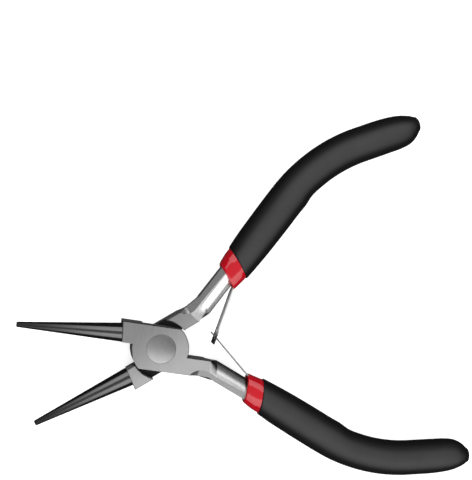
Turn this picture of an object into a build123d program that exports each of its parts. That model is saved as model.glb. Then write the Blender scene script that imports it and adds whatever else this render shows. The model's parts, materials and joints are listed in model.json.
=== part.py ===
from build123d import *
from math import cos, degrees, radians, sin, tan
import os

# Round nose pliers for jewellery making, about 127 mm long when closed.
#
# Frame: origin on the pivot axis at the joint's rear face. +Z runs along the pivot
# axis out of the front face, -X points to the jaws and +X to the handles.
#
# Both halves are one forging: the rear half is the front half turned over about X.
# Everything is drawn for the front half, closed, with z = 0 between the two halves,
# and then opened and lifted into the frame by place_front and place_rear.

# ---- driving dimensions (mm, degrees) ----
THICK = 5.6                 # joint, face to face
LAP_GAP = 0.04              # oil film between the two lap faces
HALF_OPEN = 19.27           # each lever from the centre line, springs relaxed
EDGE_BREAK = 0.18           # small chamfer round the ground faces
BEVEL_CLEAR = (9.0, -1.5)   # no edge break past this corner, where the tang is bevelled

JAW_TIP_X = -37.5           # end of the round jaw
JAW_TIP_D = 1.4
JAW_BASE_X = -10.4
JAW_BASE_D = 5.0
JAW_REST_Y = 0.05           # jaws stop this far from the centre line when closed
JAW_ROOT = 1.5              # the cone runs this far into the joint's block
JAW_TIP_BREAK = 0.2

BLOCK_Y = 5.87              # flat sides of the joint
BLOCK_INNER_Y = 0.3
BLOCK_FOOT_X = -3.0         # the jaw block's lower layer ends inside the boss recess
SHOULDER_LEAN = 0.6         # the shoulder stands square to the cone, not to the tool
BOSS_R_JAW = 7.7            # half-thickness boss, jaw side
BOSS_R_TANG = 7.3           # half-thickness boss, handle side
RECESS_R_JAW = 8.1          # seat for the other half's boss, jaw side
RECESS_R_TANG = 7.65

TANG_IN_Y = -1.25           # inner edge of the tang beside the joint
TANG_KINK_X = 15.2
CROWN_START_X = 15.5        # crowned all the way from here
TANG_END_X = 26.2           # its last stretch is inside the red coat
TANG_LEAN = -22.6           # direction of the tang past the kink
TANG_W = 5.45               # across Y
TANG_CREST = 2.65           # half height at the crest
TANG_CREST_W = 1.9          # from the outer edge in to the crest; the bevel takes most of it
TANG_CROWN = 0.39           # bulge of the crown above the chord from side wall to crest
TANG_SIDE = 0.85            # half height of the inner side wall
FRONT_FACE_END = (13.0, 13.75)  # where the ground face stops, at its inner and outer edge
REAR_FACE_END = (12.1, 9.9)
BEVEL_DEPTH = 1.95          # outer bevel, along Z
BEVEL_TAPER = 50            # of the bevel from the pivot axis
BEVEL_LEAN = -20.5          # direction of its upper edge along the tang
BEVEL_FRONT = (8.3, 13.4, -4.25)    # X where it leaves the joint's flat side, then where its arc ends
BEVEL_REAR = (8.8, 13.0, -4.5)
BEVEL_LEN = 18.0
BEVEL_ABOVE = 0.3           # the bevel's cutter stands this far over the face

SHANK_START = 1.8           # along the handle
SHANK_END = 60.0
SHANK_STEPS = 6
SHANK_W = 4.4
SHANK_T = 3.8
SHANK_END_W = 3.0
SHANK_END_T = 2.6

PIVOT_R = 2.1               # rivet shank
HEAD_R = 3.85
HEAD_RIM = 0.25
HEAD_CONE = 1.3
HEAD_DOME = 0.28
RUNNING_FIT = 0.05

# handle: straight, one long bend, straight; distances run along it from HANDLE_X
HANDLE_X = 24.0
HANDLE_Y = -7.13
HANDLE_LEAN = -23.2
BEND_START = 27.0
BEND_R = 41.6
BEND_TURN = 33.2
HANDLE_LEN = 68.7

COLLAR_X = 24.15            # red coat starts
GRIP_X = 28.45              # black coat starts
SLEEVE_END = 65.0
# (distance, width, thickness) of the two coats; the grip's last stretch is grip_tip's
SLEEVE_SECTIONS = [(-3.0, 6.0, 5.4), (0.2, 7.0, 6.5), (4.4, 8.35, 7.5), (12.0, 8.3, 7.3),
                   (30.0, 8.0, 7.0), (48.0, 7.6, 6.8), (58.0, 6.6, 5.8), (62.0, 4.6, 4.0),
                   (64.0, 2.2, 1.9)]
GRIP_SECTIONS = [(-1.0, 8.55, 7.6), (4.8, 8.85, 7.95), (11.0, 9.6, 8.5), (19.5, 9.95, 8.75),
                 (27.5, 9.95, 8.75), (30.8, 9.5, 8.55), (40.0, 9.45, 8.5), (50.0, 9.4, 8.4)]
GRIP_W = 9.35               # where the tip begins to close
GRIP_T = 8.3
TIP_START = 59.0
TIP_SHAPE = 0.65            # 0.5 would be an elliptical end; more is more pointed
TIP_DRIFT = (0.3, -0.36)    # sideways drift of the tip's centre, inwards then outwards
TIP_STEPS = [0.0, 0.3, 0.55, 0.75, 0.9]

# leaf springs: root on the inner front corner of the collar, blades crossing ahead
LEAF_ROOT = (23.75, -3.65)
LEAF_ANGLE = 139.1
LEAF_T = 0.4
LEAF_W = 4.0
LEAF_LEN = 14.9
LEAF_ROOT_R = 0.35          # the blade's rolled root, on its hinge axis
WINDOW_FROM = 11.0
WINDOW_TO = 13.9
WINDOW_W = 1.9
TONGUE_FROM = 9.6
TONGUE_LEN = 14.6
TONGUE_W = 1.3
TAB_START = 0.65            # from the root, clear of the blade's rolled root
TAB_BEND = (26.55, -5.78)
TAB_END = (33.0, -8.52)
TAB_RIVET_X = 30.2
TAB_RIVET_R = 0.8
TAB_RIVET_HEAD_R = 1.3
TAB_RIVET_HEAD = 0.4
TAB_RIVET_LEN = 2.6

HALF_T = THICK / 2
LAP_Z = LAP_GAP / 2
FAR = 20.0                  # beyond any outline of the joint
TOUCH = 1e-4                # as good as touching


# ---- small helpers ----
def prism(points, z0, z1):
    """Closed polygon in plan, from z0 up to z1."""
    face = make_face(Polyline(*points, close=True))
    return Pos(0, 0, z0) * extrude(face, z1 - z0)


def disc(radius, z0, z1):
    return Pos(0, 0, (z0 + z1) / 2) * Cylinder(radius, z1 - z0)


def half_disc(radius, side):
    """Upper-layer boss on the jaw side (-1) or tang side (1), trimmed to the joint's flat sides."""
    room = Pos(side * FAR / 2, 0, HALF_T / 2) * Box(FAR, 2 * BLOCK_Y, THICK)
    return disc(radius, LAP_Z, HALF_T) & room


def handle_point(d):
    """Centre of the handle at distance d, and the direction there in degrees."""
    lean = radians(HANDLE_LEAN)
    if d <= BEND_START:
        return HANDLE_X + d * cos(lean), HANDLE_Y + d * sin(lean), HANDLE_LEAN
    x = HANDLE_X + BEND_START * cos(lean)
    y = HANDLE_Y + BEND_START * sin(lean)
    turned = min((d - BEND_START) / BEND_R, radians(BEND_TURN))
    x += BEND_R * (sin(lean + turned) - sin(lean))
    y -= BEND_R * (cos(lean + turned) - cos(lean))
    left = d - BEND_START - turned * BEND_R
    heading = lean + turned
    return x + left * cos(heading), y + left * sin(heading), degrees(heading)


def handle_plane(d):
    x, y, heading = handle_point(d)
    along = Vector(cos(radians(heading)), sin(radians(heading)), 0)
    across = Vector(-along.Y, along.X, 0)
    return Plane(origin=(x, y, 0), x_dir=across, z_dir=along)


def oval_loft(sections, tip=None):
    """Ovals (distance, width, thickness, shift inwards) along the handle, closed on a point at tip."""
    faces = [handle_plane(d) * Pos(shift, 0) * Ellipse(w / 2, t / 2) for d, w, t, shift in sections]
    if tip is not None:
        d, shift = tip
        faces.append(Vertex(*handle_plane(d).from_local_coords((shift, 0, 0))))
    return loft(faces)


def place_front(shape):
    return Pos(0, 0, HALF_T) * Rot(0, 0, -HALF_OPEN) * shape


def place_rear(shape):
    return Pos(0, 0, HALF_T) * Rot(0, 0, HALF_OPEN) * Rot(180, 0, 0) * shape


# ---- the forged half ----
def jaw_cone():
    """Round jaw whose inner line lies along the centre line."""
    base = Vector(JAW_BASE_X, JAW_REST_Y + JAW_BASE_D / 2, 0)
    tip = Vector(JAW_TIP_X, JAW_REST_Y + JAW_TIP_D / 2, 0)
    run = tip - base
    length = run.length + JAW_ROOT
    root_r = JAW_BASE_D / 2 + JAW_ROOT * (JAW_BASE_D - JAW_TIP_D) / 2 / run.length
    plane = Plane(origin=base - run.normalized() * JAW_ROOT, z_dir=run)
    cone = plane * Pos(0, 0, length / 2) * Cone(root_r, JAW_TIP_D / 2, length)
    end = cone.edges().filter_by(GeomType.CIRCLE).sort_by(SortBy.RADIUS)[0]
    return chamfer(end, JAW_TIP_BREAK)


def joint_plate():
    """Upper layer: jaw block, half-thickness boss and the start of the tang."""
    block = prism([(JAW_BASE_X, BLOCK_INNER_Y), (0, BLOCK_INNER_Y), (0, BLOCK_Y),
                   (JAW_BASE_X - SHOULDER_LEAN, BLOCK_Y)], LAP_Z, HALF_T)
    return block + half_disc(BOSS_R_JAW, -1) + half_disc(BOSS_R_TANG, 1)


def jaw_foot():
    """Lower layer of the jaw block, hollowed for the other half's boss."""
    foot = prism([(JAW_BASE_X, BLOCK_INNER_Y), (BLOCK_FOOT_X, BLOCK_INNER_Y),
                  (BLOCK_FOOT_X, BLOCK_Y), (JAW_BASE_X - SHOULDER_LEAN, BLOCK_Y)], -HALF_T, LAP_Z)
    return foot - disc(RECESS_R_JAW, -HALF_T - 1, LAP_Z)


def tang_edge(x):
    """Inner edge of the tang, in plan."""
    return TANG_IN_Y + tan(radians(TANG_LEAN)) * max(x - TANG_KINK_X, 0)


def tang_section(x, up):
    """Half section of the tang across X: side wall, crown, crest, outer wall."""
    inner = tang_edge(x)
    outer = inner - TANG_W
    crest = outer + TANG_CREST_W
    middle = (inner + crest) / 2
    bulge = (TANG_SIDE + TANG_CREST) / 2 + TANG_CROWN
    wire = Polyline((x, crest, TANG_CREST * up), (x, outer, TANG_CREST * up), (x, outer, 0),
                    (x, inner, 0), (x, inner, TANG_SIDE * up))
    crown = ThreePointArc((x, inner, TANG_SIDE * up), (x, middle, bulge * up),
                          (x, crest, TANG_CREST * up))
    return make_face([*wire.edges(), crown])


def flat_section(face_end, up):
    """Where the ground face of the joint stops, a line from inner to outer edge."""
    x_in, x_out = face_end
    return make_face(Polyline((x_in, TANG_IN_Y, 0), (x_out, -BLOCK_Y, 0),
                              (x_out, -BLOCK_Y, HALF_T * up), (x_in, TANG_IN_Y, HALF_T * up),
                              close=True))


def half_tang(up, face_end):
    """Flat by the joint, then crowned; one half of its thickness, up = 1 or -1."""
    x_in, x_out = face_end
    low, high = (0, HALF_T) if up > 0 else (-HALF_T, LAP_Z)
    plate = prism([(0, TANG_IN_Y), (x_in, TANG_IN_Y), (x_out, -BLOCK_Y), (0, -BLOCK_Y)], low, high)
    first = tang_section(CROWN_START_X, up)
    last = tang_section(TANG_END_X, up)
    return plate + loft([flat_section(face_end, up), first], ruled=True) + loft([first, last], ruled=True)


def bevel_outline(start_x, crown_x, crown_y, z):
    """Outline of what the bevel takes off at height z; it narrows going down."""
    spread = (HALF_T - z) * tan(radians(BEVEL_TAPER))
    run = Vector(cos(radians(BEVEL_LEAN)), sin(radians(BEVEL_LEAN)), 0)
    out = Vector(run.Y, -run.X, 0)
    first = Vector(start_x + spread / 2, -BLOCK_Y - spread / 2, 0)
    crown = Vector(crown_x, crown_y, 0) + out * spread
    last = crown + run * BEVEL_LEN
    rest = Polyline(crown, last, (last.X, -FAR), (first.X, -FAR), first)
    return Pos(0, 0, z) * make_face([TangentArc(crown, first, tangent=-run), *rest.edges()])


def bevel_tool(place):
    """Ground bevel along the outer edge of the tang, on the front face."""
    top = bevel_outline(*place, HALF_T + BEVEL_ABOVE)
    return loft([top, bevel_outline(*place, HALF_T - BEVEL_DEPTH)], ruled=True)


def shank():
    """The tang's tail inside the handle, an oval bar that tapers to its end."""
    sections = []
    for i in range(SHANK_STEPS + 1):
        share = i / SHANK_STEPS
        d = SHANK_START + (SHANK_END - SHANK_START) * share
        w = SHANK_W + (SHANK_END_W - SHANK_W) * share
        t = SHANK_T + (SHANK_END_T - SHANK_T) * share
        sections.append((d, w, t, 0))
    return oval_loft(sections)


def rivet_room(gap):
    """Hole and countersinks for the pivot rivet, with a gap all round."""
    half = [(0, 0), (PIVOT_R + gap, 0), (PIVOT_R + gap, HALF_T - HEAD_RIM - HEAD_CONE - gap),
            (HEAD_R + gap, HALF_T - HEAD_RIM - gap), (HEAD_R + gap, HALF_T + 1), (0, HALF_T + 1)]
    face = Plane.XZ * make_face(Polyline(*half, close=True))
    upper = revolve(face, Axis.Z)
    return upper + Rot(180, 0, 0) * upper


def is_ground_edge(edge):
    """Outline edges of the two ground faces, apart from where the tang's bevel begins."""
    box = edge.bounding_box()
    centre = edge.center()
    on_face = box.max.Z - box.min.Z < TOUCH and abs(abs(centre.Z) - HALF_T) < TOUCH
    return on_face and not (centre.X > BEVEL_CLEAR[0] and centre.Y < BEVEL_CLEAR[1])


def lever(gap):
    """One forged half; gap is the clearance round the rivet."""
    tang = half_tang(1, FRONT_FACE_END) + half_tang(-1, REAR_FACE_END)
    tang -= disc(RECESS_R_TANG, -HALF_T - 1, LAP_Z)
    tang -= bevel_tool(BEVEL_FRONT)
    tang -= Rot(180, 0, 0) * mirror(bevel_tool(BEVEL_REAR), Plane.XZ)
    body = joint_plate() + jaw_foot() + jaw_cone() + tang + shank()
    body = chamfer([edge for edge in body.edges() if is_ground_edge(edge)], EDGE_BREAK)
    return body - rivet_room(gap)


def pivot_rivet():
    """Countersunk rivet with a low dome on both heads."""
    dome_r = (HEAD_R ** 2 + HEAD_DOME ** 2) / (2 * HEAD_DOME)
    cone_low = HALF_T - HEAD_RIM - HEAD_CONE
    half = [(0, 0), (PIVOT_R, 0), (PIVOT_R, cone_low), (HEAD_R, HALF_T - HEAD_RIM),
            (HEAD_R, HALF_T + 1), (0, HALF_T + 1)]
    face = Plane.XZ * make_face(Polyline(*half, close=True))
    blank = revolve(face, Axis.Z)
    upper = blank & (Pos(0, 0, HALF_T + HEAD_DOME - dome_r) * Sphere(dome_r))
    return upper + Rot(180, 0, 0) * upper


# ---- the coats ----
def square_cut(x):
    """What lies on the joint's side of a coat's end, square to the tool."""
    return Pos(x - 2 * FAR, 0, 0) * Box(4 * FAR, 4 * FAR, 4 * FAR)


def sleeve_solid():
    sections = [(d, w, t, 0) for d, w, t in SLEEVE_SECTIONS]
    return oval_loft(sections, (SLEEVE_END, 0)) - square_cut(COLLAR_X)


def grip_tip(share):
    """One oval of the closing tip, share 0 to 1 of the way along it."""
    size = (1 - share ** 2) ** TIP_SHAPE
    drift = TIP_DRIFT[0] + (TIP_DRIFT[1] - TIP_DRIFT[0]) * share ** 2
    return TIP_START + share * (HANDLE_LEN - TIP_START), GRIP_W * size, GRIP_T * size, drift


def grip_solid():
    sections = [(d, w, t, 0) for d, w, t in GRIP_SECTIONS]
    sections += [grip_tip(share) for share in TIP_STEPS]
    return oval_loft(sections, (HANDLE_LEN, TIP_DRIFT[1])) - square_cut(GRIP_X)


# ---- the leaf springs ----
def leaf_strip(d0, d1, width, thick=LEAF_T):
    """Straight bar along the blade, between two distances from its root."""
    angle = radians(LEAF_ANGLE)
    along = Vector(cos(angle), sin(angle), 0)
    plane = Plane(origin=Vector(*LEAF_ROOT, 0) + along * d0, x_dir=(-along.Y, along.X, 0), z_dir=along)
    return plane * Pos(0, 0, (d1 - d0) / 2) * Box(thick, width, d1 - d0)


def blade_root():
    return Pos(*LEAF_ROOT, 0) * Cylinder(LEAF_ROOT_R, LEAF_W)


def window_blade():
    """Rear leaf: full width, with a window near its end."""
    window = leaf_strip(WINDOW_FROM, WINDOW_TO, WINDOW_W, 3 * LEAF_T)
    return blade_root() + leaf_strip(0, LEAF_LEN, LEAF_W) - window


def tongue_blade():
    """Front leaf: full width, then a tongue narrow enough for the other's window."""
    return blade_root() + leaf_strip(0, TONGUE_FROM, LEAF_W) + leaf_strip(0, TONGUE_LEN, TONGUE_W)


def leaf_tab():
    """The hidden end of the leaf, bent flat against the shank."""
    start = Vector(*LEAF_ROOT, 0)
    bend = Vector(*TAB_BEND, 0)
    end = Vector(*TAB_END, 0)
    run = (bend - start).normalized()
    path = Polyline(start + run * TAB_START, bend, end)
    strip = offset(path, LEAF_T / 2, side=Side.BOTH)
    return Pos(0, 0, -LEAF_W / 2) * extrude(make_face(strip), LEAF_W)


def tab_rivet():
    """Small rivet that holds the tab to the shank, head on the tab."""
    bend = Vector(*TAB_BEND, 0)
    end = Vector(*TAB_END, 0)
    run = (end - bend).normalized()
    out = Vector(-run.Y, run.X, 0)
    seat = bend + run * ((TAB_RIVET_X - bend.X) / run.X)
    plane = Plane(origin=seat + out * (LEAF_T / 2), x_dir=run, z_dir=out)
    head = plane * Pos(0, 0, TAB_RIVET_HEAD / 2) * Cylinder(TAB_RIVET_HEAD_R, TAB_RIVET_HEAD)
    pin = plane * Pos(0, 0, -TAB_RIVET_LEN / 2) * Cylinder(TAB_RIVET_R, TAB_RIVET_LEN)
    return head + pin


def build():
    rivet = tab_rivet()
    tab = leaf_tab() - rivet
    sleeve = sleeve_solid()
    grip = grip_solid() - sleeve
    parts = {"pivot_rivet": place_front(pivot_rivet())}
    sides = {
        "front": (place_front, 0.0, tongue_blade),
        "rear": (place_rear, RUNNING_FIT, window_blade),
    }
    for side, (place, gap, blade) in sides.items():
        steel = lever(gap) - rivet - tab
        parts[side + "_lever"] = place(steel)
        parts[side + "_inner_sleeve"] = place(sleeve - steel - tab - rivet)
        parts[side + "_grip"] = place(grip)
        parts[side + "_leaf_tab"] = place(tab)
        parts[side + "_leaf_rivet"] = place(rivet)
        parts[side + "_leaf_blade"] = place(blade())
    return parts


os.makedirs("parts", exist_ok=True)
for name, shape in build().items():
    export_step(shape, f"parts/{name}.step")
    print(name, round(shape.volume, 2), shape.is_valid)
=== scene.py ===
import bmesh
import bpy
import json
from math import cos, pi, radians, sin, sqrt
from mathutils import Matrix, Vector


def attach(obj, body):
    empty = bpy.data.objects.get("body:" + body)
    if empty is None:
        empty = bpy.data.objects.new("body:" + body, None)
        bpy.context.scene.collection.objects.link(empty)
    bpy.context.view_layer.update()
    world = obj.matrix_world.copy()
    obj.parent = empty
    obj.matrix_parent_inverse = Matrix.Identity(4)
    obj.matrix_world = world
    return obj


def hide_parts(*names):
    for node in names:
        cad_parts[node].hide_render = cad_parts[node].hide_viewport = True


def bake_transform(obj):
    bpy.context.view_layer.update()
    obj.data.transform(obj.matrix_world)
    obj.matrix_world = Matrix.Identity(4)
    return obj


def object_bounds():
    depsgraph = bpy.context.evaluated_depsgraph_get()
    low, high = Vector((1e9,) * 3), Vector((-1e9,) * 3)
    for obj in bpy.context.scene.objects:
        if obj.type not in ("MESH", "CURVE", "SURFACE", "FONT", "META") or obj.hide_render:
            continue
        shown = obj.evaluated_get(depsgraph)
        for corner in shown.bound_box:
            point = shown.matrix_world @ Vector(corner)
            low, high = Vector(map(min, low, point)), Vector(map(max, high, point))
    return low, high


# Round nose pliers: steel, rivet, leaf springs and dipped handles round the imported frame.
# Shapes are written in millimetres in one half's own frame: closed, z = 0 between the two
# halves, -X to the jaws, the handle at -Y. to_row() opens a half and lifts it into the row frame.

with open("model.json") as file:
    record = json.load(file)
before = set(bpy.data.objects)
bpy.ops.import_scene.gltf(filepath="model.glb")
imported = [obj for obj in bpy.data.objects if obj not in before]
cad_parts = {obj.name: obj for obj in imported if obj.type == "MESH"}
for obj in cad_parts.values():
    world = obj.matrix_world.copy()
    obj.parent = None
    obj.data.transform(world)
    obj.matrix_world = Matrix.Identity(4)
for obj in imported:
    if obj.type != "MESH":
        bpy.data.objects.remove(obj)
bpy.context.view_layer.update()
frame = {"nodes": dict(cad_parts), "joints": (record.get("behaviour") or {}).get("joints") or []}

MM = 0.001
SIDES = ("front", "rear")
JOINTS = {joint["name"]: joint for joint in frame["joints"]}
PIVOT_Z = JOINTS["jaw_pivot"]["pos_m"][2] / MM
HALF_OPEN = radians(19.27)

# ---- sizes, mm ----
HALF_T = PIVOT_Z
SHOULDER_X = -10.37
SHOULDER_SLOPE = 0.108

HANDLE_X = 24.0
HANDLE_Y = -7.13
HANDLE_LEAN = radians(-23.2)
BEND_START = 27.0
BEND_R = 41.6
BEND_TURN = radians(33.2)
HANDLE_LEN = 68.7

HEAD_R = 3.82
PIVOT_R = 2.1
HEAD_DOME = 0.28
HEAD_EDGE = 0.12

COLLAR_X = 24.15
GRIP_X = 28.45

ROUND = 72                  # points round a coat
# distance along the handle, then half widths inwards and outwards, and half thickness
GRIP_KEYS = [(3.0, 4.35, 4.3, 3.9), (6.0, 4.55, 4.4, 4.02), (11.0, 4.82, 4.75, 4.25),
             (19.5, 5.0, 4.93, 4.36), (25.0, 5.0, 4.95, 4.38), (28.2, 5.08, 4.9, 4.36),
             (31.6, 4.66, 4.85, 4.28), (36.0, 4.7, 4.78, 4.26), (44.0, 4.74, 4.72, 4.24),
             (52.0, 4.76, 4.66, 4.2), (58.0, 4.78, 4.58, 4.15), (62.0, 4.72, 4.2, 4.0),
             (64.5, 4.3, 3.62, 3.6), (66.5, 3.2, 2.85, 2.75), (67.8, 1.95, 2.1, 1.85)]
GRIP_END = 68.55
GRIP_END_SHIFT = -0.3
COLLAR_KEYS = [(-1.0, 3.38, 3.34, 3.2), (4.6, 4.15, 4.12, 3.72), (8.0, 4.17, 4.15, 3.72)]

SKEW_FADE = 14.0            # a coat's rings turn from the slanted front edge to square over this
GRIP_LIP = 0.5              # rounding at the black coat's front edge
GRIP_TUCK = 0.15            # the black coat's edge reaches down into the red one
COLLAR_LIP = 0.42
COLLAR_POWER = 0.84         # below 1 the red coat's section is boxy
COLLAR_DISH = 0.25          # hollow of the red coat's front end, round the steel
BORE_SHIFT = -0.35          # the red coat's bore, out of sight in the steel
BORE_W = 3.6
BORE_T = 1.2


def smooth_keys(keys, d):
    """The keyed values at distance d, on a smooth curve through the keys."""
    if d <= keys[0][0]:
        return keys[0][1:]
    if d >= keys[-1][0]:
        return keys[-1][1:]
    i = max(k for k in range(len(keys) - 1) if keys[k][0] <= d)
    a, b = keys[i], keys[i + 1]
    before, after = keys[max(i - 1, 0)], keys[min(i + 2, len(keys) - 1)]
    span = b[0] - a[0]
    t = (d - a[0]) / span
    values = []
    for n in range(1, len(a)):
        slope_a = (b[n] - before[n]) / (b[0] - before[0]) * span
        slope_b = (after[n] - a[n]) / (after[0] - a[0]) * span
        values.append((2 * t ** 3 - 3 * t ** 2 + 1) * a[n] + (t ** 3 - 2 * t ** 2 + t) * slope_a
                      + (3 * t ** 2 - 2 * t ** 3) * b[n] + (t ** 3 - t ** 2) * slope_b)
    return values


def to_row(side):
    """From one half's own frame in mm to the row frame in metres."""
    lift = Matrix.Translation((0, 0, PIVOT_Z))
    if side == "front":
        return Matrix.Scale(MM, 4) @ lift @ Matrix.Rotation(-HALF_OPEN, 4, "Z")
    flip = Matrix.Rotation(pi, 4, "X")
    return Matrix.Scale(MM, 4) @ lift @ Matrix.Rotation(HALF_OPEN, 4, "Z") @ flip


def handle_point(d, across, up):
    """Point of the handle: d along its centre line, across inwards, up along Z."""
    if d <= BEND_START:
        heading = HANDLE_LEAN
        x = HANDLE_X + d * cos(heading)
        y = HANDLE_Y + d * sin(heading)
    else:
        turned = min((d - BEND_START) / BEND_R, BEND_TURN)
        left = d - BEND_START - turned * BEND_R
        heading = HANDLE_LEAN + turned
        x = (HANDLE_X + BEND_START * cos(HANDLE_LEAN) + BEND_R * (sin(heading) - sin(HANDLE_LEAN))
             + left * cos(heading))
        y = (HANDLE_Y + BEND_START * sin(HANDLE_LEAN) - BEND_R * (cos(heading) - cos(HANDLE_LEAN))
             + left * sin(heading))
    return Vector((x - across * sin(heading), y + across * cos(heading), up))


# ---- mesh helpers ----
def mesh_object(name, points, faces, side, material, smooth=True):
    mesh = bpy.data.meshes.new(name)
    mesh.from_pydata([tuple(p) for p in points], [], faces)
    mesh.transform(to_row(side))
    mesh.validate()
    bm = bmesh.new()
    bm.from_mesh(mesh)
    bmesh.ops.remove_doubles(bm, verts=bm.verts, dist=1e-8)
    bmesh.ops.recalc_face_normals(bm, faces=bm.faces)
    bm.to_mesh(mesh)
    bm.free()
    for polygon in mesh.polygons:
        polygon.use_smooth = smooth
    mesh.materials.append(material)
    piece = bpy.data.objects.new(name, mesh)
    bpy.context.scene.collection.objects.link(piece)
    return piece


def ring_faces(rings, count, closed=False):
    """Quads between one ring of points and the next."""
    faces = []
    for r in range(rings if closed else rings - 1):
        a, b = r * count, (r + 1) % rings * count
        for i in range(count):
            j = (i + 1) % count
            faces.append((a + i, a + j, b + j, b + i))
    return faces


# ---- coats ----
def squared(value, power):
    """value ** power with the sign kept: below 1 it turns an ellipse boxy."""
    return (1 if value > 0 else -1) * abs(value) ** power


def coat_ring(keys, start_x, along, inset, power=1.0):
    """One ring of a coat: along mm past the plane x = start_x, which fades to a square ring."""
    points = []
    for i in range(ROUND):
        turn = 2 * pi * i / ROUND
        aside, above = squared(cos(turn), power), squared(sin(turn), power)
        d = along + (start_x - HANDLE_X) / cos(HANDLE_LEAN)
        fade = max(0.0, 1 - along / SKEW_FADE)
        for _ in range(3):
            inwards, outwards, half_t = smooth_keys(keys, d)
            across = ((inwards if cos(turn) > 0 else outwards) - inset) * aside
            d = along + (start_x - HANDLE_X + across * sin(HANDLE_LEAN) * fade) / cos(HANDLE_LEAN)
        up = (half_t - inset) * above
        points.append(handle_point(d, across, up))
    return points


def collar_ring(along, inset):
    """A ring of the red coat: boxy where it shows, round where it runs under the black coat."""
    hidden = min(1.0, max(0.0, (along - 3.4) / 1.2))
    power = COLLAR_POWER + (1 - COLLAR_POWER) * hidden
    return coat_ring(COLLAR_KEYS, COLLAR_X, along, inset, power)


def lip_steps(lip, steps=6):
    """Distance along and inset of the rings that round a coat's front edge."""
    turns = [pi / 2 * i / steps for i in range(steps + 1)]
    return [(lip * (1 - cos(turn)), lip * (1 - sin(turn))) for turn in turns]


def grip_rings():
    rings = [coat_ring(GRIP_KEYS, GRIP_X, 0.4, GRIP_LIP + GRIP_TUCK)]
    rings += [coat_ring(GRIP_KEYS, GRIP_X, along, inset) for along, inset in lip_steps(GRIP_LIP)]
    start = (GRIP_X - HANDLE_X) / cos(HANDLE_LEAN)
    along = 0.7
    while start + along < 60:
        rings.append(coat_ring(GRIP_KEYS, GRIP_X, along, 0))
        along += 0.9
    steps = 22
    first = start + along
    for i in range(steps):
        share = sin(pi / 2 * i / steps)
        d = first + (GRIP_KEYS[-1][0] - first) * share
        rings.append(coat_ring(GRIP_KEYS, GRIP_X, d - start, 0))
    return rings


def grip_tip_rings():
    """The last, blunt round end, which shrinks to a point."""
    start = (GRIP_X - HANDLE_X) / cos(HANDLE_LEAN)
    d0, inwards, outwards, half_t = GRIP_KEYS[-1]
    rings = []
    steps = 8
    for i in range(1, steps):
        turn = pi / 2 * i / steps
        d = d0 + (GRIP_END - d0) * sin(turn)
        shrink = cos(turn)
        ring = []
        for k in range(ROUND):
            a = 2 * pi * k / ROUND
            side = inwards if cos(a) > 0 else outwards
            across = side * shrink * cos(a) + GRIP_END_SHIFT * (1 - shrink)
            ring.append(handle_point(d, across, half_t * shrink * sin(a)))
        rings.append(ring)
    return rings


def grip_piece(side, material):
    rings = grip_rings() + grip_tip_rings()
    points = [p for ring in rings for p in ring]
    faces = ring_faces(len(rings), ROUND)
    points.append(handle_point(GRIP_END, GRIP_END_SHIFT, 0))
    last = (len(rings) - 1) * ROUND
    for i in range(ROUND):
        faces.append((last + i, last + (i + 1) % ROUND, len(points) - 1))
    # closed at the back of its front lip, inside the red coat
    back = len(points)
    points += coat_ring(GRIP_KEYS, GRIP_X, 2.0, 3.2)
    for i in range(ROUND):
        j = (i + 1) % ROUND
        faces.append((i, back + i, back + j, j))
    faces.append(tuple(back + i for i in range(ROUND)))
    piece = mesh_object(side + "_grip_coat", points, faces, side, material)
    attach(piece, side + "_half")
    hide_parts(side + "_grip")
    return piece


def bore_ring(along):
    """Ring inside the steel of the tang, where the coat's bore is out of sight."""
    points = []
    for i in range(ROUND):
        turn = 2 * pi * i / ROUND
        across = BORE_SHIFT + BORE_W / 2 * cos(turn)
        d = along + (COLLAR_X - HANDLE_X + across * sin(HANDLE_LEAN)) / cos(HANDLE_LEAN)
        points.append(handle_point(d, across, BORE_T / 2 * sin(turn)))
    return points


def collar_piece(side, material):
    rings = [bore_ring(6.5), bore_ring(0.3)]
    for share in (0.25, 0.5, 0.75):
        outer = collar_ring(0.0, COLLAR_LIP)
        dish = COLLAR_DISH * (1 - share ** 2)
        inner = bore_ring(0.0)
        shift = Vector((dish, 0, 0))
        rings.append([a.lerp(b, share) + shift for a, b in zip(inner, outer)])
    rings += [collar_ring(along, inset) for along, inset in lip_steps(COLLAR_LIP)]
    rings += [collar_ring(COLLAR_LIP + i * 0.44, 0) for i in range(1, 15)]
    points = [p for ring in rings for p in ring]
    piece = mesh_object(side + "_collar", points, ring_faces(len(rings), ROUND, closed=True),
                        side, material)
    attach(piece, side + "_half")
    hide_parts(side + "_inner_sleeve")
    return piece


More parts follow.
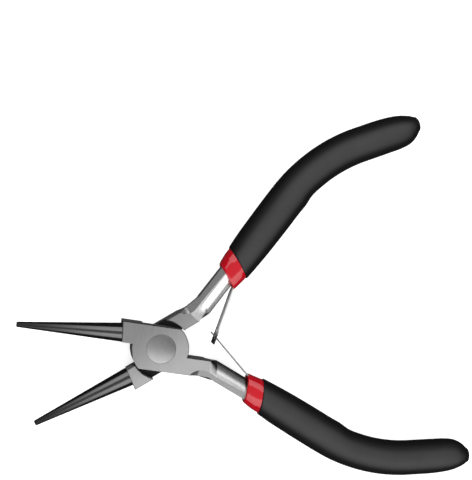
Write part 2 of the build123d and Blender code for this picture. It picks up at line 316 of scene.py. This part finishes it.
# ---- materials ----
class Shader:
    """A new material's node tree, with short calls for what is used here."""

    def __init__(self, name):
        self.material = bpy.data.materials.new(name)
        self.material.use_nodes = True
        self.tree = self.material.node_tree
        self.bsdf = self.tree.nodes["Principled BSDF"]

    def link(self, value, socket):
        if hasattr(value, "is_output"):
            self.tree.links.new(value, socket)
        else:
            socket.default_value = value

    def math(self, operation, a, b=0.0, c=0.0, clamp=False):
        node = self.tree.nodes.new("ShaderNodeMath")
        node.operation = operation
        node.use_clamp = clamp
        for value, socket in zip((a, b, c), node.inputs):
            self.link(value, socket)
        return node.outputs[0]

    def ramp(self, value, low, high, to_low=0.0, to_high=1.0):
        node = self.tree.nodes.new("ShaderNodeMapRange")
        node.interpolation_type = "SMOOTHSTEP"
        for item, name in ((value, "Value"), (low, "From Min"), (high, "From Max"),
                           (to_low, "To Min"), (to_high, "To Max")):
            self.link(item, node.inputs[name])
        return node.outputs[0]

    def mix(self, share, a, b):
        node = self.tree.nodes.new("ShaderNodeMix")
        node.data_type = "RGBA"
        self.link(share, node.inputs["Factor"])
        self.link(a, node.inputs["A"])
        self.link(b, node.inputs["B"])
        return node.outputs["Result"]

    def coordinates(self, scale=(1, 1, 1), rotation=(0, 0, 0), location=(0, 0, 0)):
        source = self.tree.nodes.new("ShaderNodeTexCoord")
        node = self.tree.nodes.new("ShaderNodeMapping")
        self.tree.links.new(source.outputs["Object"], node.inputs["Vector"])
        node.inputs["Scale"].default_value = scale
        node.inputs["Rotation"].default_value = rotation
        node.inputs["Location"].default_value = location
        return node.outputs["Vector"]

    def half_coordinates(self, side):
        """The half's own frame, in mm."""
        scale = (1 / MM,) * 3
        if side == "front":
            return self.coordinates(scale, (0, 0, HALF_OPEN), (0, 0, -PIVOT_Z))
        return self.coordinates(scale, (pi, 0, HALF_OPEN), (0, 0, PIVOT_Z))

    def half_normal(self, side):
        """The surface direction in the half's own frame."""
        source = self.tree.nodes.new("ShaderNodeTexCoord")
        node = self.tree.nodes.new("ShaderNodeMapping")
        node.vector_type = "VECTOR"
        self.tree.links.new(source.outputs["Normal"], node.inputs["Vector"])
        node.inputs["Rotation"].default_value = (0 if side == "front" else pi, 0, HALF_OPEN)
        return node.outputs["Vector"]

    def split(self, vector):
        node = self.tree.nodes.new("ShaderNodeSeparateXYZ")
        self.tree.links.new(vector, node.inputs[0])
        return node.outputs

    def stretch(self, vector, scale, rotation=(0, 0, 0)):
        node = self.tree.nodes.new("ShaderNodeMapping")
        self.tree.links.new(vector, node.inputs["Vector"])
        node.inputs["Scale"].default_value = scale
        node.inputs["Rotation"].default_value = rotation
        return node.outputs["Vector"]

    def noise(self, vector, scale, detail=3.0, roughness=0.55):
        node = self.tree.nodes.new("ShaderNodeTexNoise")
        self.tree.links.new(vector, node.inputs["Vector"])
        node.inputs["Scale"].default_value = scale
        node.inputs["Detail"].default_value = detail
        node.inputs["Roughness"].default_value = roughness
        return node.outputs["Fac"]

    def bump(self, height, distance, strength=1.0):
        node = self.tree.nodes.new("ShaderNodeBump")
        self.link(height, node.inputs["Height"])
        self.link(distance, node.inputs["Distance"])
        self.link(strength, node.inputs["Strength"])
        self.tree.links.new(node.outputs[0], self.bsdf.inputs["Normal"])


def grey(value):
    return (value, value, value, 1)


def lever_material(side):
    """Ground joint faces, polished tang, round jaw and lap faces, with painted light and shade:
    the jaw near black as a painted dark reflection, the lap faces near black as painted shade, and
    tones set by face direction and across the row.
    """
    s = Shader(side + "_lever_steel")
    half = s.half_coordinates(side)
    x, y, z = s.split(half)
    height = s.math("ABSOLUTE", z)
    row_x, row_y, _ = s.split(s.coordinates((1 / MM,) * 3))
    shoulder = s.math("MULTIPLY_ADD", y, -SHOULDER_SLOPE, SHOULDER_X)
    jaw = s.ramp(s.math("SUBTRACT", shoulder, x), -0.05, -0.02)
    normal_x, normal_y, normal_z = s.split(s.half_normal(side))
    inwards = s.math("MULTIPLY_ADD", normal_x, -sin(HANDLE_LEAN),
                     s.math("MULTIPLY", normal_y, cos(HANDLE_LEAN)))
    upwards = s.math("ABSOLUTE", normal_z)
    ground = s.math("MULTIPLY", s.ramp(height, HALF_T - 0.03, HALF_T - 0.005),
                    s.ramp(upwards, 0.990, 0.998))
    lap = s.ramp(height, 0.10, 0.04)
    along_jaw = s.ramp(x, -37.0, -11.0)

    grain = s.noise(s.stretch(half, (5.0, 0.35, 1.0), (0, 0, 0.5)), 1.0, 4.0)
    cloud = s.noise(half, 0.35, 3.0)
    fine = s.noise(s.stretch(half, (0.8, 8.0, 8.0)), 1.0, 3.0)

    ground_side = s.math("MULTIPLY", s.ramp(inwards, -0.50, -0.58), s.ramp(upwards, 0.5, 0.65))
    # painted shading: side walls, picked by the way they face, take a dark grey, less metallic
    # tone of their own
    wall_painted_shading = s.ramp(upwards, 0.40, 0.15)
    # painted shade: the tang's polished face darkens towards its inner side, over a wider band on
    # the front half
    inner_side_painted_shade = s.ramp(inwards, 0.10, 0.55) if side == "front" else s.ramp(inwards, 0.58, 0.85)

    polished = s.mix(cloud, grey(0.74), grey(0.88))
    polished = s.mix(inner_side_painted_shade, polished, grey(0.07))
    polished = s.mix(wall_painted_shading, polished, s.mix(fine, grey(0.13), grey(0.20)))
    # painted light and shade: the outer bevel is light grey on the front half and dark grey on the
    # rear, two lit and shaded copies of the same steel
    bevel_painted_light_and_shade = 0.38 if side == "front" else 0.13
    bevel = s.mix(fine, grey(bevel_painted_light_and_shade * 0.85), grey(bevel_painted_light_and_shade * 1.15))
    polished = s.mix(ground_side, polished, bevel)
    # painted light: the ground joint faces grow lighter towards +X and -Y of the row, over the
    # steel's own grain
    painted_light_gradient = s.ramp(s.math("MULTIPLY_ADD", row_x, 0.5, s.math("MULTIPLY", row_y, -1.0)), -9.0, 9.0)
    grain_and_painted_light = s.mix(s.math("MULTIPLY_ADD", grain, 0.35, s.math("MULTIPLY", painted_light_gradient, 0.65)),
                       grey(0.20), grey(0.46))
    # painted reflection: the round jaw is coloured near black, darkest at the tip, for the dark
    # surroundings its polished steel reflects
    jaw_painted_dark_reflection = s.mix(along_jaw, grey(0.022), grey(0.10))
    colour = s.mix(ground, polished, grain_and_painted_light)
    # painted shade: the mid-plane lap faces in the recess between the halves are coloured near
    # black
    colour = s.mix(lap, colour, grey(0.02))
    colour = s.mix(jaw, colour, jaw_painted_dark_reflection)
    s.link(colour, s.bsdf.inputs["Base Color"])

    rough = s.math("MULTIPLY_ADD", fine, 0.03, 0.26)
    ground_rough = s.math("MULTIPLY_ADD", grain, 0.10, 0.34)
    jaw_rough = s.ramp(along_jaw, 0, 1, 0.40, 0.19)
    rough = s.math("ADD", s.math("MULTIPLY", rough, s.math("SUBTRACT", 1.0, ground)),
                   s.math("MULTIPLY", ground_rough, ground))
    rough = s.math("ADD", s.math("MULTIPLY", rough, s.math("SUBTRACT", 1.0, jaw)),
                   s.math("MULTIPLY", jaw_rough, jaw))
    s.link(rough, s.bsdf.inputs["Roughness"])
    satin = s.math("MAXIMUM", s.math("MULTIPLY", ground_side, 0.8), s.math("MULTIPLY", wall_painted_shading, 0.6))
    metal = s.math("SUBTRACT", 1.0, s.math("MULTIPLY", satin, s.math("SUBTRACT", 1.0, jaw)))
    s.link(metal, s.bsdf.inputs["Metallic"])
    s.bump(s.math("ADD", s.math("MULTIPLY", grain, ground), s.math("MULTIPLY", fine, 0.06)),
           0.000012, 0.35)
    return s.material


def rivet_material():
    s = Shader("rivet_steel_satin")
    spot = s.coordinates((1 / MM,) * 3)
    x, y, _ = s.split(spot)
    radius = s.math("SQRT", s.math("ADD", s.math("MULTIPLY", x, x), s.math("MULTIPLY", y, y)))
    rings = s.math("MULTIPLY_ADD", s.math("SINE", s.math("MULTIPLY", radius, 24.0)), 0.5, 0.5)
    cloud = s.noise(spot, 0.6)
    fine = s.noise(spot, 6.0, 4.0)
    # painted light: the rivet head is lighter towards -X and -Y and darker on the other side
    rivet_painted_light = s.ramp(s.math("MULTIPLY_ADD", x, -0.6, s.math("MULTIPLY", y, -0.8)), -HEAD_R, HEAD_R)
    painted_shading_tone = s.mix(rivet_painted_light, grey(0.13), grey(0.30))
    s.link(s.mix(s.math("MULTIPLY", cloud, 0.3), painted_shading_tone, grey(0.5)), s.bsdf.inputs["Base Color"])
    s.link(s.math("MULTIPLY_ADD", fine, 0.10, 0.36), s.bsdf.inputs["Roughness"])
    s.bsdf.inputs["Metallic"].default_value = 1.0
    s.bump(s.math("ADD", s.math("MULTIPLY", rings, 0.4), fine), 0.000006, 0.3)
    return s.material


def spring_material(side):
    """Satin strip whose free end is dark."""
    s = Shader(side + "_spring_strip")
    spot = s.half_coordinates(side)
    x, y, _ = s.split(spot)
    along = s.math("ADD", s.math("MULTIPLY", s.math("SUBTRACT", x, LEAF_ROOT[0]), cos(LEAF_ANGLE)),
                   s.math("MULTIPLY", s.math("SUBTRACT", y, LEAF_ROOT[1]), sin(LEAF_ANGLE)))
    streak = s.noise(s.stretch(spot, (0.5, 0.5, 9.0)), 1.0, 4.0)
    cloud = s.noise(spot, 0.8)
    dark_end = s.ramp(along, LEAF_LEN - 5.0, LEAF_LEN - 2.0)
    # painted shade: the front strip is a darker copy of the same steel, with its dark end at half
    # strength; the rear strip keeps the lighter tone
    painted_shading_tone = 0.6
    if side == "front":
        dark_end = s.math("MULTIPLY", dark_end, 0.5)
        painted_shading_tone = 0.22
    colour = s.mix(dark_end, s.mix(cloud, grey(painted_shading_tone), grey(painted_shading_tone * 1.2)), grey(0.01))
    s.link(colour, s.bsdf.inputs["Base Color"])
    s.link(s.math("MULTIPLY_ADD", streak, 0.12, 0.46), s.bsdf.inputs["Roughness"])
    s.bsdf.inputs["Metallic"].default_value = 0.3
    s.bump(streak, 0.000006, 0.3)
    return s.material


def red_material():
    """Glossy dip coat: clear red, with slow thickness waves."""
    s = Shader("red_dip_coat")
    spot = s.coordinates((1 / MM,) * 3)
    cloud = s.noise(spot, 0.5, 2.0)
    waves = s.noise(spot, 0.9, 2.0)
    red_tone = s.mix(cloud, (0.40, 0.002, 0.008, 1), (0.48, 0.004, 0.013, 1))
    s.link(red_tone, s.bsdf.inputs["Base Color"])
    s.link(s.math("MULTIPLY_ADD", waves, 0.05, 0.10), s.bsdf.inputs["Roughness"])
    s.bsdf.inputs["IOR"].default_value = 1.52
    s.bump(waves, 0.00002, 0.12)
    return s.material


def black_material():
    """Satin dip coat with a very fine skin texture."""
    s = Shader("black_dip_coat")
    spot = s.coordinates((1 / MM,) * 3)
    skin = s.noise(spot, 5.5, 5.0, 0.6)
    cloud = s.noise(spot, 0.18, 3.0)
    # painted light: the black coat is lighter where it faces up and near black down its sides; the
    # cloud adds random tone
    top_painted_light = s.ramp(s.math("ABSOLUTE", s.split(s.half_normal("front"))[2]), 0.78, 1.04)
    top_painted_light = s.math("MULTIPLY", top_painted_light, s.math("MULTIPLY_ADD", cloud, 0.4, 0.8))
    s.link(s.mix(top_painted_light, grey(0.003), grey(0.036)), s.bsdf.inputs["Base Color"])
    s.link(s.math("MULTIPLY_ADD", skin, 0.12, 0.44), s.bsdf.inputs["Roughness"])
    s.bsdf.inputs["Specular IOR Level"].default_value = 0.22
    s.bsdf.inputs["IOR"].default_value = 1.45
    s.bump(skin, 0.00003, 0.35)
    return s.material


# ---- leaf springs ----
LEAF_ANGLE = radians(139.1)
LEAF_ROOT = (23.75, -3.65)
LEAF_T = 0.4
LEAF_W = 4.0
LEAF_LEN = 14.9
WINDOW = (11.0, 13.9, 1.9)
TONGUE_FROM = 9.6
TONGUE_LEN = 14.6
TONGUE_W = 1.3
TAB_BEND = (26.55, -5.78)
TAB_TAPER = 0.5             # the tab narrows where it runs into the coat
TAB_TAPER_LEN = 1.2


def leaf_path(d):
    """Centre of the strip at d from its root; d < 0 runs back under the red coat."""
    if d < 0:
        run = Vector((TAB_BEND[0] - LEAF_ROOT[0], TAB_BEND[1] - LEAF_ROOT[1])).normalized()
        return Vector(LEAF_ROOT) - run * d, run
    run = Vector((cos(LEAF_ANGLE), sin(LEAF_ANGLE)))
    return Vector(LEAF_ROOT) + run * d, run


def leaf_piece(side, material):
    """One bent strip: flat tab under the coat, then the blade; a grid with its thickness."""
    stations = [-3.2, -2.4, -1.6, -1.0, -0.6, -0.3] + [0.3 * i for i in range(1, 31)]
    if side == "rear":
        stations += [9.6, 10.3, WINDOW[0], 11.7, 12.45, 13.2, WINDOW[1], 14.4, LEAF_LEN]
        cuts = [-LEAF_W / 2, -WINDOW[2] / 2, WINDOW[2] / 2, LEAF_W / 2]
    else:
        stations += [9.3, TONGUE_FROM, 10.6, 11.6, 12.6, 13.6, TONGUE_LEN]
        cuts = [-LEAF_W / 2, -TONGUE_W / 2, TONGUE_W / 2, LEAF_W / 2]
    points = []
    for d in stations:
        centre, _ = leaf_path(d)
        narrow = 1 - TAB_TAPER * min(1.0, max(0.0, -d / TAB_TAPER_LEN))
        for across in cuts:
            points.append((centre.x, centre.y, across * narrow))
    faces = []
    for i in range(len(stations) - 1):
        middle = (stations[i] + stations[i + 1]) / 2
        for k in range(3):
            in_window = side == "rear" and k == 1 and WINDOW[0] < middle < WINDOW[1]
            beside_tongue = side == "front" and k != 1 and middle > TONGUE_FROM
            if not in_window and not beside_tongue:
                a = i * 4 + k
                faces.append((a, a + 1, a + 5, a + 4))
    piece = mesh_object(side + "_leaf_spring", points, faces, side, material, smooth=False)
    thick = piece.modifiers.new("thickness", "SOLIDIFY")
    thick.thickness = LEAF_T * MM
    thick.offset = 0
    edge = piece.modifiers.new("edges", "BEVEL")
    edge.width = 0.06 * MM
    edge.segments = 2
    apply_modifiers(piece)
    shade_smooth(piece, 35)
    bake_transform(piece)
    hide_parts(side + "_leaf_blade", side + "_leaf_tab")
    return piece


def apply_modifiers(piece):
    graph = bpy.context.evaluated_depsgraph_get()
    mesh = bpy.data.meshes.new_from_object(piece.evaluated_get(graph))
    piece.modifiers.clear()
    piece.data = mesh


def shade_smooth(piece, degrees_limit):
    """Smooth shading up to a crease angle."""
    for polygon in piece.data.polygons:
        polygon.use_smooth = True
    bm = bmesh.new()
    bm.from_mesh(piece.data)
    for edge in bm.edges:
        sharp = len(edge.link_faces) != 2 or edge.calc_face_angle() > radians(degrees_limit)
        edge.smooth = not sharp
    bm.to_mesh(piece.data)
    bm.free()


# ---- pivot rivet ----
def rivet_piece(material):
    """Turned about Z: a low dome with a rounded edge on both faces, and the shank between."""
    outline = [(0, HALF_T + HEAD_DOME)]
    dome_r = (HEAD_R ** 2 + HEAD_DOME ** 2) / (2 * HEAD_DOME)
    edge_r = HEAD_R - HEAD_EDGE
    for i in range(1, 15):
        r = edge_r * i / 14
        outline.append((r, HALF_T + HEAD_DOME - dome_r + sqrt(dome_r ** 2 - r ** 2)))
    top = outline[-1][1]
    for i in range(1, 6):
        turn = pi / 2 * i / 5
        outline.append((edge_r + HEAD_EDGE * sin(turn), top - HEAD_EDGE * (1 - cos(turn))))
    outline.append((HEAD_R, HALF_T - 0.25))
    outline.append((PIVOT_R, HALF_T - 1.55))
    outline += [(r, -z) for r, z in reversed(outline)]
    count = 96
    points, faces = [], []
    for r, z in outline[1:-1]:
        for k in range(count):
            points.append((r * cos(2 * pi * k / count), r * sin(2 * pi * k / count), z))
    faces = ring_faces(len(outline) - 2, count)
    top_point, low_point = len(points), len(points) + 1
    points += [(0, 0, outline[0][1]), (0, 0, outline[-1][1])]
    last = (len(outline) - 3) * count
    for k in range(count):
        j = (k + 1) % count
        faces.append((k, j, top_point))
        faces.append((last + j, last + k, low_point))
    piece = mesh_object("pivot_rivet_turned", points, faces, "front", material)
    shade_smooth(piece, 40)
    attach(piece, "front_half")
    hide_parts("pivot_rivet")
    return piece


# ---- put together ----
steel = {side: lever_material(side) for side in SIDES}
rivet_steel = rivet_material()
spring_steel = {side: spring_material(side) for side in SIDES}
red = red_material()
black = black_material()


def paint(node, material):
    """Gives a CAD node its material in every slot."""
    slots = frame["nodes"][node].material_slots
    for item in slots:
        item.material = material
    if not slots:
        frame["nodes"][node].data.materials.append(material)


for side in SIDES:
    paint(side + "_lever", steel[side])
    paint(side + "_leaf_rivet", rivet_steel)
    grip_piece(side, black)
    collar_piece(side, red)
    leaf_piece(side, spring_steel[side])
rivet_piece(rivet_steel)


# ---- stage: floor, light, camera ----
def stage_floor():
    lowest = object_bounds()[0].z
    mesh = bpy.data.meshes.new("floor")
    size = 3.0
    mesh.from_pydata([(-size, -size, 0), (size, -size, 0), (size, size, 0), (-size, size, 0)], [],
                     [(0, 1, 2, 3)])
    floor = bpy.data.objects.new("floor", mesh)
    floor.location.z = lowest - 0.02 * MM
    bpy.context.scene.collection.objects.link(floor)
    material = bpy.data.materials.new("pale_floor")
    material.use_nodes = True
    tree = material.node_tree
    tree.nodes.clear()
    out = tree.nodes.new("ShaderNodeOutputMaterial")
    ray = tree.nodes.new("ShaderNodeLightPath")
    pale = tree.nodes.new("ShaderNodeBsdfDiffuse")
    pale.inputs["Color"].default_value = (0.8, 0.8, 0.8, 1)
    glow = tree.nodes.new("ShaderNodeEmission")
    glow.inputs["Color"].default_value = (1, 1, 1, 1)
    glow.inputs["Strength"].default_value = 0.62
    seen = tree.nodes.new("ShaderNodeAddShader")
    dull = tree.nodes.new("ShaderNodeBsdfDiffuse")
    dull.inputs["Color"].default_value = (0.05, 0.05, 0.05, 1)
    pick = tree.nodes.new("ShaderNodeMixShader")
    tree.links.new(pale.outputs[0], seen.inputs[0])
    tree.links.new(glow.outputs[0], seen.inputs[1])
    tree.links.new(ray.outputs["Is Camera Ray"], pick.inputs[0])
    tree.links.new(dull.outputs[0], pick.inputs[1])
    tree.links.new(seen.outputs[0], pick.inputs[2])
    tree.links.new(pick.outputs[0], out.inputs["Surface"])
    mesh.materials.append(material)


LIGHT_TURN = radians(-14)   # the softboxes' long side, from the tool's centre line


def softbox(name, tilt, distance, width, length, radiance):
    """Rectangular light beside the tool, tilted off the zenith towards +Y (or -Y) by tilt."""
    light = bpy.data.lights.new(name, "AREA")
    light.shape = "RECTANGLE"
    light.size = length
    light.size_y = width
    light.energy = radiance * pi * length * width
    lamp = bpy.data.objects.new(name, light)
    turn = Matrix.Rotation(LIGHT_TURN, 4, "Z") @ Matrix.Rotation(-tilt, 4, "X")
    lamp.matrix_world = turn @ Matrix.Translation((0, 0, distance))
    lamp.visible_camera = False
    bpy.context.scene.collection.objects.link(lamp)


def stage_light():
    softbox("softbox_back", radians(44), 0.5, 0.48, 1.3, 2.0)
    softbox("softbox_front", radians(-44), 0.5, 0.48, 1.3, 2.2)
    world = bpy.data.worlds.new("studio")
    bpy.context.scene.world = world
    world.use_nodes = True
    tree = world.node_tree
    background = tree.nodes["Background"]
    background.inputs["Color"].default_value = (1, 1, 1, 1)
    ray = tree.nodes.new("ShaderNodeLightPath")
    place = tree.nodes.new("ShaderNodeTexCoord")
    height = tree.nodes.new("ShaderNodeSeparateXYZ")
    tree.links.new(place.outputs["Generated"], height.inputs[0])
    sky = tree.nodes.new("ShaderNodeMapRange")
    sky.interpolation_type = "SMOOTHSTEP"
    sky.inputs["From Min"].default_value = 0.3
    sky.inputs["From Max"].default_value = 1.0
    sky.inputs["To Min"].default_value = 0.02
    sky.inputs["To Max"].default_value = 0.48
    tree.links.new(height.outputs["Z"], sky.inputs["Value"])
    level = tree.nodes.new("ShaderNodeMix")
    level.inputs["B"].default_value = 0.98
    tree.links.new(ray.outputs["Is Camera Ray"], level.inputs["Factor"])
    tree.links.new(sky.outputs[0], level.inputs["A"])
    tree.links.new(level.outputs["Result"], background.inputs["Strength"])


# The camera looks almost straight down, a little from the jaws' side, rolled about 10 degrees.
CAMERA_RIGHT = Vector((0.97070, -0.16361, 0.17609))
CAMERA_UP = Vector((0.17837, 0.98139, -0.07145))
CAMERA_BACK = Vector((-0.16112, 0.10077, 0.98178))
CAMERA_PLACE = (-24.13, 54.55, 296.32)      # from the pivot, mid plane, mm
CAMERA_LENS = 86.22


def stage_camera():
    camera = bpy.data.cameras.new("camera")
    camera.lens = CAMERA_LENS
    camera.sensor_width = 36
    camera.clip_start = 0.01
    camera.clip_end = 10
    eye = bpy.data.objects.new("camera", camera)
    back = CAMERA_BACK.normalized()
    right = (CAMERA_RIGHT - back * CAMERA_RIGHT.dot(back)).normalized()
    up = back.cross(right)
    turn = Matrix((right, up, back)).transposed().to_4x4()
    place = (Vector(CAMERA_PLACE) + Vector((0, 0, PIVOT_Z))) * MM
    eye.matrix_world = Matrix.Translation(place) @ turn
    bpy.context.scene.collection.objects.link(eye)
    bpy.context.scene.camera = eye


stage_floor()
stage_light()
stage_camera()
bpy.context.scene.view_settings.view_transform = "Standard"
bpy.context.scene.view_settings.look = "None"
